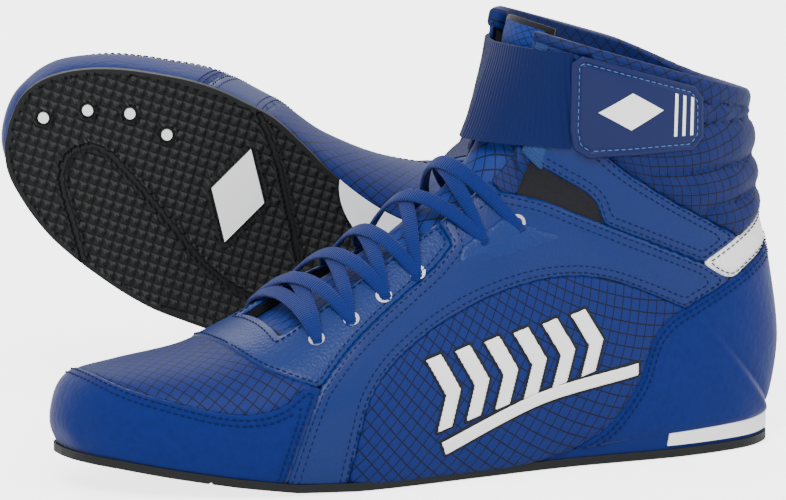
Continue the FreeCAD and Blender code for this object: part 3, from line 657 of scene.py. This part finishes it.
# The black outsole leaves a white shank piece on the medial waist (x y points).
SHANK_EDGE = [(-158, 40), (-158, 25.5), (-143.5, 9), (-120, 2), (-98, 8), (-86, 40)]
DOT_PLACES = [(-280.7, 20.6), (-264.4, 29), (-247.7, 32.9), (-231.1, 29)]
EYELET_PLACES = [(-203, 59), (-188.5, 66), (-174, 74), (-159, 82), (-131, 93), (-116, 99)]
LOW, HIGH, FRONT, BACK = -12, 200, -320, 30
THROAT_HALF, THROAT_FROM = 19, 6                 # half-width in mm, first section it opens
ROW_MM, RIM_MM, ACROSS_MM = 14, 6, 60            # mm to a section, the same at the rim, across
throat = np.maximum.reduce([np.abs(GY) - THROAT_HALF, (THROAT_FROM - GS) * ROW_MM,
                            (np.abs(GA) - 0.45) * ACROSS_MM])
below_rim = (GS - COLLAR) * RIM_MM
PANELS = [
    ("heel_stripe", ring(STRIPE_TOP, STRIPE_LOW[::-1]), white_smooth),
    ("toe_rand", ring([(FRONT, LOW)], [(FRONT, 50)], RAND_TOP, BAND_FRONT, [(-222, LOW)]),
     blue_suede),
    ("arch_bands", ring(BAND_FRONT[::-1], EYESTAY_SEAM, [(-158, 135)], [(-137, 140)], BAND_TOP,
                        [(-25, 71)], [(-26, 69)], ARCH_INNER[::-1], [(-196, LOW)],
                        [(-222, LOW)]), blue_smooth),
    ("eyestays", ring([(-236, HIGH)], EYESTAY_FRONT, EYESTAY_SEAM, [(-158, 135)],
                      [(-158, HIGH)]), blue_grained),
    ("gores", ring(GORE_EDGE, [(-85, 90)], [(-114, 104)], [(-114.5, 110)]), black_web),
    ("heel_counter", ring(COUNTER_TOP, [(BACK, 92)], [(BACK, LOW)], [(-96, LOW)],
                          COUNTER_FRONT[::-1]), blue_suede),
    ("side_panels", ring(ARCH_INNER, COUNTER_FRONT, [(-96, LOW)], [(-196, LOW)]), blue_ripstop),
    ("ankle_overlays", ring(GORE_EDGE, [(-80, 88)], [(-40, 74)], [(-30, 80)], [(-22, 85.5)],
                            OVERLAY_TOP, [(-88, HIGH)], [(-112, HIGH)], [(-112, 132)]),
     blue_smooth),
    ("vamp", [(FRONT, LOW), (FRONT, HIGH), (-205, HIGH), (-205, LOW)], blue_ripstop),
    ("shaft", [(FRONT, LOW), (FRONT, HIGH), (BACK, HIGH), (BACK, LOW)], shaft_ripstop),
]
# Quilted rows of the shaft: padding swells between sewn lines, with small creases beside them.
QUILTS = [[(-62, 114), (-36, 115), (20, 119)], [(-70, 128), (-39, 134), (20, 129)],
          [(-41, 98), (-10, 103), (20, 108)], [(-92, 156), (-60, 149), (-30, 141), (20, 134)]]
near_quilt = np.full(GX.shape, 1e9)
for quilt in QUILTS:
    near_quilt = np.minimum(near_quilt, to_line(smooth(quilt), GX, GZ))

fields, taken = {}, np.maximum(-throat, below_rim)
for name, outline, material in PANELS:
    shape = inside(outline, GX, GZ)
    fields[name] = np.maximum(shape, taken)
    taken = np.maximum(taken, -shape)

creases = 0.5 * np.sin(GX * 0.42 + 2.1 * np.sin(GZ * 0.11)) * np.sin(GZ * 0.23 + 1.3)
puff = 3.2 * (1 - np.exp(-near_quilt / 2.6)) + creases * np.exp(-near_quilt / 7)
SHAFT_FROM = -112                                # quilting lies behind this
puff = puff * rounded(np.maximum(-fields["shaft"], 0), 6) * (GX > SHAFT_FROM)
SWELL, SWELL_RUN = 1.4, 26                       # how far the side panels swell, over how much
arch_swell = SWELL * rounded(np.maximum(-fields["side_panels"], 0), SWELL_RUN)
PROUD = {"arch_bands": 0.85, "eyestays": 0.7, "heel_counter": 0.7, "ankle_overlays": 0.8,
         "heel_stripe": 0.6, "toe_rand": 0.6, "gores": 0.1}
for name, outline, material in PANELS:
    relief = {"shaft": puff, "side_panels": arch_swell}.get(name)
    skin(name, fields[name], material, proud=PROUD.get(name, 0.2), relief=relief, node=name)

# Raised chevrons over a bar on the lateral side, and an inlay behind the fourth eyelet.
bar = ring([(-154, 13), (-110, 29), (-66, 36)], [(-66, 41)], [(-66, 41), (-110, 34), (-156, 18)])
side = window(-172, -56, 6, 74, 4)
marks = inside(bar, side.x, side.z)
CHEVRONS = 6
for index in range(CHEVRONS):
    part = index / CHEVRONS
    x, z, tall = -158 + 78 * part, 22 + 19 * part, 28 - 4 * part
    chevron = [(x, z), (x + 7, z + 2), (x + 11, z + tall / 2 + 2), (x + 3, z + tall + 2),
               (x - 4, z + tall), (x + 4, z + tall / 2)]
    marks = np.minimum(marks, inside(chevron, side.x, side.z))
side_outline = next(outline for name, outline, _ in PANELS if name == "side_panels")
swell = SWELL * rounded(np.maximum(-inside(side_outline, side.x, side.z), 0), SWELL_RUN)
skin("side_graphic", marks, white_plastic, bottom=0.0, proud=0.9, roll=0.7, relief=swell,
     node="side_graphic", on=side)
border = shader("graphic_edge", (0.004, 0.006, 0.012), rough=0.5)
skin("side_graphic_edge", marks - 1.1, border, bottom=0.0, proud=0.45, roll=0.5, relief=swell,
     on=side)
INLAY = [(-141, 90), (-142, 83), (-96, 92), (-121, 101.5)]
inlay = inside(INLAY, GX, GZ)
skin("inlay", inlay, blue_grained, top=-0.6, bottom=-0.2, proud=0.7, roll=1.2)

# Collar: a rolled binding along the rim, and a grosgrain tape down the front edges.
rim = np.maximum.reduce([(COLLAR - 0.32 - GS) * RIM_MM, -throat, below_rim])
skin("collar_binding", rim, blue_smooth, top=-0.7, bottom=0.2, proud=1.1, roll=2.0)
rise_by = 0.95 * np.exp(-((GA - 0.42) / 0.3) ** 4) + 0.15
pad = np.maximum.reduce([(COLLAR - 0.5 - GS) * RIM_MM, (GS - COLLAR - rise_by) * RIM_MM, -throat])
skin("collar_pad", pad, shaft_ripstop, top=-0.4, bottom=4.6, proud=2.4, roll=4.0)
TAPE_FROM, TAPE_MIDDLE, TAPE_HALF = 12.6, 22.6, 2.2
tape = np.maximum.reduce([below_rim, np.abs(np.abs(GY) - TAPE_MIDDLE) - TAPE_HALF,
                          (TAPE_FROM - GS) * 8, (np.abs(GA) - 0.5) * ACROSS_MM, -throat])
tape_web = ribbed("tape_web", (0.0200, 0.0540, 0.1800), 1.5, axis=0)
skin("front_tape", tape, tape_web, top=-0.8, bottom=0.1, proud=0.5, roll=1.0)

sewn = np.where((fields["shaft"] < -1.5) & (GX > SHAFT_FROM), near_quilt, 9.0)
rows = [(sewn, 0.45), (fields["arch_bands"], -1.6), (fields["arch_bands"], -4.2),
        (fields["eyestays"], -1.6), (fields["toe_rand"], -1.8), (fields["toe_rand"], -4.0),
        (fields["heel_counter"], -1.6), (fields["heel_counter"], -3.9),
        (fields["ankle_overlays"], -1.6), (fields["ankle_overlays"], -4.0),
        (fields["heel_stripe"], -1.4)]
stitches("seam_threads", rows, blue_thread, depth=-0.85)

# ---------------------------------------------------------------------------------------------
# Tongue: a padded strip with quilting across it and a black binding round its edge.
TONGUE_HALF, TONGUE_OUT, TONGUE_IN = 23.0, 4.9, 8.9         # half-width and depths, in mm
TONGUE_ROOT, TONGUE_TOP = 5.8, COLLAR + 0.58     # sections it starts and ends at
BINDING_MM, BINDING_COLS = 4, 4                  # its binding, in mm and in columns
TS, TY = np.linspace(TONGUE_ROOT, TONGUE_TOP, 300), np.linspace(-1, 1, 61)


def across_for(s, half):
    """Place across whose half-width is this, by halving."""
    low, high = 0.0, 0.5
    for _ in range(18):
        middle = (low + high) / 2
        if upper_point(s, middle, 0)[1] - blend("centre", s) < half:
            low = middle
        else:
            high = middle
    return low


REACH_STEPS = 12
reach = [[across_for(s, TONGUE_HALF * k / REACH_STEPS) for k in range(REACH_STEPS + 1)]
         for s in TS]
tongue_verts, tongue_uv = [], []
for depth_side in (0, 1):
    for s, places in zip(TS, reach):
        for y in TY:
            a = math.copysign(np.interp(abs(y) * REACH_STEPS, range(REACH_STEPS + 1), places), y)
            border = min((1 - abs(y)) * TONGUE_HALF, (TONGUE_TOP - s) * RIM_MM,
                         (s - TONGUE_ROOT) * ROW_MM)
            soft = float(rounded(max(border, 0), 3.0))
            if depth_side:
                depth = TONGUE_IN - 1.0 * (1 - soft)
            else:
                swell = 0.5 + 0.5 * abs(math.sin(s * 2.2)) ** 0.5 if border > BINDING_MM else 0.8
                depth = TONGUE_OUT + 1.2 - 1.2 * soft * swell
            tongue_verts.append(upper_point(s, a, depth))
            tongue_uv.append((s * 11, y * TONGUE_HALF))
wide = len(TY)
count = len(TS) * wide
tongue_faces = []
for i in range(len(TS) - 1):
    for j in range(wide - 1):
        a = i * wide + j
        tongue_faces.append((a, a + wide, a + wide + 1, a + 1))
        tongue_faces.append((a + count, a + count + 1, a + count + wide + 1, a + count + wide))
    for a in (i * wide, i * wide + wide - 1):
        tongue_faces.append((a, a + wide, a + wide + count, a + count))
for j in range(wide - 1):
    for a in (j, count - wide + j):
        tongue_faces.append((a, a + 1, a + 1 + count, a + count))
tongue_look = ripstop("tongue_ripstop", (0.0056, 0.0315, 0.2325))
for piece in pair("tongue", tongue_verts, tongue_faces, tongue_look, node="tongue",
                  body="tongue", uvs=tongue_uv, merge=0):
    piece.data.materials.append(black_cloth)
    for face in piece.data.polygons:
        row, col = divmod(min(face.vertices) % count, wide)
        bound = min(col, wide - 2 - col) < BINDING_COLS or row > len(TS) - 9
        face.material_index = 1 if bound or max(face.vertices) >= count else 0

# ---------------------------------------------------------------------------------------------
# Strap tab: moulded rubber with a stitched groove inside its border.
TAB = [(-92.5, 133), (-92.5, 161), (-89, 164), (-46, 150), (-42, 145), (-41.5, 129), (-46, 124),
       (-86, 122.5), (-91, 126)]
TAB_FACE, GROOVE_IN = -3.75, 2.6                 # face's depth, groove inside the border
tab_field = np.maximum(inside(TAB, GX, GZ), np.where(GA < 0, -50, 50))
strap_side = window(-98, -36, 117, 169, 3)
tab_shape = inside(TAB, strap_side.x, strap_side.z)
groove = -0.8 * np.exp(-((-tab_shape - GROOVE_IN) / 0.6) ** 2)
skin("strap_tab", tab_shape, tab_rubber, top=TAB_FACE, bottom=-1.2, proud=0.5, roll=1.2,
     relief=groove, node="strap_tab", body="tab", on=strap_side)
tab_thread = shader("tab_thread", (0.06, 0.14, 0.4), 0.8)
stitches("tab_threads", [(tab_field, -GROOVE_IN)], tab_thread, depth=TAB_FACE, body="tab")

# ---------------------------------------------------------------------------------------------
# Outsole: square pyramids with two sipes, recesses round the dots and badge, a shank bed.
def sole_line(margin):
    """The sole's edge in plan, moved out by margin."""
    def side(name, sign):
        points = []
        for index in range(2, 2 * HEEL):
            s = index / 2
            dx = blend("low_x", s + 0.1) - blend("low_x", s - 0.1)
            dy = blend("centre", s + 0.1) - blend("centre", s - 0.1) \
                + sign * (blend("sole_" + name, s + 0.1) - blend("sole_" + name, s - 0.1))
            step = margin / math.hypot(dx, dy)
            y = blend("centre", s) + sign * blend("sole_" + name, s)
            points.append((blend("low_x", s) - sign * dy * step, y + sign * dx * step))
        return points
    toe = (STATIONS[0][2] - margin, STATIONS[0][4])
    heel = (STATIONS[HEEL][2] + margin, 0)
    return smooth([toe] + side("lat", -1) + [heel] + side("med", 1)[::-1], 4)


PITCH, TREAD, SOLE_MARGIN, SOLE_THICK = 4.0, 1.3, 1.9, 3.55 # pyramids, edge, thickness, mm
SOLE_UNDER, LEVEL_ROW, PLAIN = 4, 8, 0.1         # mm below the upper, first flat row, border
DOT_BED, BADGE_BED, SHANK_BED, SIPE_DEEP = 1.55, 1.55, 2.1, 1.5     # depths of the recesses
tx, ty = np.meshgrid(np.arange(-297, 9.01, 1), np.arange(-52, 56.01, 1), indexing="ij")
tx, ty = tx.astype(float), ty.astype(float)
edge = inside(sole_line(SOLE_MARGIN), tx, ty)
floor_x = [STATIONS[0][2] - 20] + [row[2] for row in STATIONS[1:LEVEL_ROW]] + [40]
floor_z = [STATIONS[0][3] - 2.5] + [row[3] - SOLE_UNDER for row in STATIONS[1:LEVEL_ROW]] + [0]
ground = np.interp(tx, floor_x, floor_z)
cell = np.maximum(np.abs((tx % PITCH) - PITCH / 2), np.abs((ty % PITCH) - PITCH / 2))
cell = np.minimum(cell, PITCH / 2)
tread = TREAD * cell / (PITCH / 2)
tread = np.where(edge > -2.2, 0.15, tread)
SIPES = [[(-249.7, -30.9), (-259.2, -15.3), (-266.6, -2.5), (-267.2, 8.2), (-259.6, 15),
          (-251, 14.1), (-244.6, 10.5), (-235.9, 5.1), (-219.8, -6.1), (-205.7, -16.2),
          (-192.1, -23.1), (-178.2, -26.6)],
         [(-197.3, 47.4), (-190.7, 38.9), (-183.2, 27.3), (-177.3, 15.3), (-172.2, 6.3),
          (-166.4, -6.6)]]


def sunk(tread, away, bed, ridge, deep):
    """The tread with a bed this deep where away is below bed, and a plain ridge round it."""
    return np.where(away < ridge, np.where(away < bed, deep, PLAIN), tread)


for sipe in SIPES:
    tread = sunk(tread, to_line(smooth(sipe), tx, ty), 1.2, 2.4, SIPE_DEEP)
for x, y in DOT_PLACES:
    tread = sunk(tread, np.hypot(tx - x, ty - y), 3.2, 4.4, DOT_BED)
BADGE = [(-208, 13), (-197, 33), (-186, 13), (-197, -7)]
tread = sunk(tread, inside(BADGE, tx, ty), 1.0, 2.6, BADGE_BED)
tread = sunk(tread, inside(ring(SHANK_EDGE), tx, ty), 0.4, 1.6, SHANK_BED)
sole = Region(edge)
bx, by = sole.take(tx), sole.take(ty)
bottom = sole.take(ground + tread)
top = sole.take(ground) + SOLE_THICK
count = len(bx)
sole_verts = np.vstack([np.stack([bx, by, bottom], 1), np.stack([bx, by, top], 1)])
sole_faces = [face[::-1] for face in sole.faces]
sole_faces += [[v + count for v in face] for face in sole.faces]
sole_faces += [[a, b, b + count, a + count] for a, b in sole.rim()]
pair("outsole", sole_verts, sole_faces, black_rubber, node="outsole", flat=True, merge=0)

# ---------------------------------------------------------------------------------------------
# Laces: flat woven ribbons crossing over the tongue, each from one eyelet to the next.
def on_surface(x, z, side):
    """Section and place across of the grid point nearest to x and z in side view."""
    half = GA < 0 if side < 0 else GA > 0
    miss = np.where(half, np.hypot(GX - x, GZ - z), 1e9)
    i, j = np.unravel_index(np.argmin(miss), miss.shape)
    return S[i], A[j]


def ribbon(path, out, wide, thick):
    """Flat woven band along a path; out is the way its face looks."""
    verts, faces, uv = [], [], []
    path, out = np.array(path), np.array(out)
    ahead = np.gradient(path, axis=0)
    run = np.concatenate([[0], np.cumsum(np.linalg.norm(np.diff(path, axis=0), axis=1))])
    sides = 12
    for k in range(len(path)):
        forward = ahead[k] / np.linalg.norm(ahead[k])
        across = np.cross(forward, out[k])
        across /= np.linalg.norm(across)
        face = np.cross(across, forward)
        pinch = 0.55 + 0.45 * math.sin(math.pi * min(max(k / (len(path) - 1), 0), 1)) ** 0.5
        for n in range(sides):
            angle = 2 * math.pi * n / sides
            c, s = math.cos(angle), math.sin(angle)
            w = wide / 2 * pinch * math.copysign(abs(c) ** 0.6, c)
            t = thick / 2 * (1.4 - 0.4 * pinch) * math.copysign(abs(s) ** 0.8, s)
            verts.append(path[k] + across * w + face * t)
            uv.append((w, run[k]))
    for k in range(len(path) - 1):
        for n in range(sides):
            a, b = k * sides + n, k * sides + (n + 1) % sides
            faces.append((a, b, b + sides, a + sides))
    faces.append(tuple(range(sides))[::-1])
    faces.append(tuple(range((len(path) - 1) * sides, len(path) * sides)))
    return verts, faces, uv


holes = [[on_surface(x, z, side) for x, z in EYELET_PLACES] for side in (-1, 1)]
spans = [(0, 0, 0.2)]
for index in range(len(EYELET_PLACES) - 1):
    spans += [(index, index + 1, 0.0), (index + 1, index, 2.0)]
all_verts, all_faces, all_uv = [], [], []
for lateral, medial, over in spans:
    (s0, a0), (s1, a1) = holes[0][lateral], holes[1][medial]
    path, out = [], []
    for t in np.linspace(-0.03, 1.03, 31):
        s, a = s0 + (s1 - s0) * t, a0 + (a1 - a0) * t
        mid = math.sin(math.pi * min(max(t, 0), 1))
        depth = -0.6 - 1.9 * min(1, mid * 2.2) - over * mid ** 2
        here = np.array(upper_point(s, a, depth))
        path.append(here)
        out.append(np.array(upper_point(s, a, depth - 1)) - here)
    first = len(all_verts)
    verts, faces, uv = ribbon(path, out, 6.4, 2.0)
    all_verts += verts
    all_uv += uv
    all_faces += [tuple(v + first for v in face) for face in faces]
pair("lace", all_verts, all_faces, lace_web, node="lace", uvs=all_uv, merge=0)

# ---------------------------------------------------------------------------------------------
# Light, floor and camera.
def stage_light(name, place, look_at, size, power):
    data = bpy.data.lights.new(name, "AREA")
    data.shape = "SQUARE"
    data.size = size
    data.energy = power
    lamp = bpy.data.objects.new(name, data)
    lamp.location = place
    way = Vector(look_at) - Vector(place)
    lamp.rotation_euler = way.to_track_quat("-Z", "Y").to_euler()
    bpy.context.scene.collection.objects.link(lamp)


stage_light("key", (-0.9, -1.1, 1.5), (-0.05, 0.05, 0.05), 0.8, 30)
stage_light("fill", (1.1, -0.9, 0.8), (0, 0, 0.08), 1.2, 9)
stage_light("back", (0.2, 1.4, 1.2), (0, 0.05, 0.08), 1.2, 12)
world = bpy.data.worlds.new("studio")
bpy.context.scene.world = world
world.use_nodes = True
sky = world.node_tree
seen = sky.nodes.new("ShaderNodeLightPath")
power = sky.nodes.new("ShaderNodeMath")
power.operation = "MULTIPLY_ADD"
power.inputs[1].default_value = 8.0
power.inputs[2].default_value = 1.1
sky.links.new(seen.outputs["Is Camera Ray"], power.inputs[0])
sky.links.new(power.outputs[0], sky.nodes["Background"].inputs["Strength"])
sky.nodes["Background"].inputs["Color"].default_value = (1, 1, 1, 1)
floor_mesh = bpy.data.meshes.new("floor")
floor_mesh.from_pydata([(-4, -4, -0.0002), (4, -4, -0.0002), (4, 4, -0.0002), (-4, 4, -0.0002)],
                       [], [(0, 1, 2, 3)])
floor_look = shader("floor_white", (0.93, 0.93, 0.93), rough=0.9)
floor_glow = floor_look.node_tree.nodes["Principled BSDF"]
floor_glow.inputs["Emission Color"].default_value = (1, 1, 1, 1)
floor_seen = add(floor_look, "ShaderNodeLightPath")
join(floor_look, calc(floor_look, "MULTIPLY", floor_seen.outputs["Is Camera Ray"], 3.0),
     floor_glow.inputs["Emission Strength"])
floor_mesh.materials.append(floor_look)
floor = bpy.data.objects.new("floor", floor_mesh)
bpy.context.scene.collection.objects.link(floor)

AZIMUTH, ELEVATION, AWAY = math.radians(-25), math.radians(10.2), 5.0
ca, sa, ce, se = (math.cos(AZIMUTH), math.sin(AZIMUTH), math.cos(ELEVATION),
                  math.sin(ELEVATION))
out_way = Vector((sa * ce, -ca * ce, se))
right_way = Vector((ca, sa, 0))
up_way = Vector((-sa * se, ca * se, ce))
aim = Vector((-0.085, 0, 0.070)) - right_way * 0.01047 + up_way * 0.0153
camera_data = bpy.data.cameras.new("camera")
camera_data.sensor_width = 36
camera_data.lens = 579.4
camera_data.clip_end = 50
camera = bpy.data.objects.new("camera", camera_data)
turn = Matrix((right_way, up_way, out_way)).transposed().to_4x4()
camera.matrix_world = Matrix.Translation(aim + out_way * AWAY) @ turn
bpy.context.scene.collection.objects.link(camera)
bpy.context.scene.camera = camera
